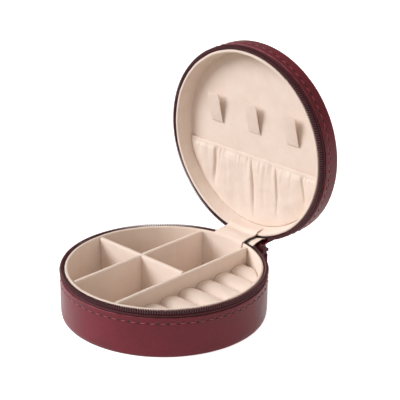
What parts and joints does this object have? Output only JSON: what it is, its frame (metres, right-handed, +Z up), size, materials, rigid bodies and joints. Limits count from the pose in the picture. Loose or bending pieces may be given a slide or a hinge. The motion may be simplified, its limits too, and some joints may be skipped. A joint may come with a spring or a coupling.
{
  "type": "round zip-up jewellery case",
  "caption": "Round burgundy leather jewellery case, open, with cream lining, ring rolls, divided base, lid hook tabs and gathered pocket.",
  "frame": {"origin": "centre of the base's underside, where the closed case rests", "axes": "+Z up out of the base, -Y to the front opposite the hinge, +Y to the hinge, +X to the ring rolls"},
  "size_m": [0.115, 0.1377, 0.14],
  "materials": {
    "leather": "smooth burgundy leather, satin",
    "lining": "cream short-pile lining, matte",
    "board": "plain greyboard",
    "foam": "thin wadding",
    "zip_tape": "woven zip tape, dark burgundy",
    "zip_coil": "moulded coil, dark burgundy",
    "elastic": "cream elastic",
    "zip_metal": "dark burgundy enamel"
  },
  "bodies": {
    "base": {"base_leather_band": "leather", "base_bottom_leather": "leather", "base_side_board": "board", "base_bottom_board": "board", "base_side_lining": "lining", "base_floor_pad": "lining", "ring_wall": "lining", "long_divider": "lining", "cross_divider": "lining", "ring_roll_1": "lining", "ring_roll_2": "lining", "ring_roll_3": "lining", "ring_roll_4": "lining", "ring_roll_5": "lining", "ring_roll_6": "lining", "ring_roll_7": "lining", "zip_tape_base": "zip_tape", "zip_coil_base": "zip_coil", "zip_stop_base": "zip_metal", "hinge_strap": "leather", "hinge_lining_strip": "lining"},
    "lid": {"lid_leather_band": "leather", "lid_top_leather": "leather", "lid_top_padding": "foam", "lid_top_board": "board", "lid_side_board": "board", "lid_side_lining": "lining", "lid_panel": "lining", "hook_tab_1": "lining", "hook_tab_2": "lining", "hook_tab_3": "lining", "lid_pocket": "lining", "pocket_elastic": "elastic", "zip_tape_lid": "zip_tape", "zip_coil_lid": "zip_coil", "zip_stop_lid": "zip_metal"},
    "slider": {"slider_body": "zip_metal"},
    "pull": {"slider_pull": "zip_metal"}
  },
  "joints": [
    {"name": "lid_hinge", "type": "hinge", "parent": "base", "child": "lid", "pos_m": [0, 0.059, 0.023], "axis": [1, 0, 0], "range_deg": [0, 88.5], "deforming": ["hinge_strap", "hinge_lining_strip"]},
    {"name": "slider_travel", "type": "hinge", "parent": "base", "child": "slider", "pos_m": [0, 0, 0.028], "axis": [0, 0, -1], "range_deg": [0, 311]},
    {"name": "pull_swing", "type": "hinge", "parent": "slider", "child": "pull", "pos_m": [0.02536, 0.05564, 0.02825], "axis": [0.91, -0.4147, 0], "range_deg": [0, 105]}
  ]
}
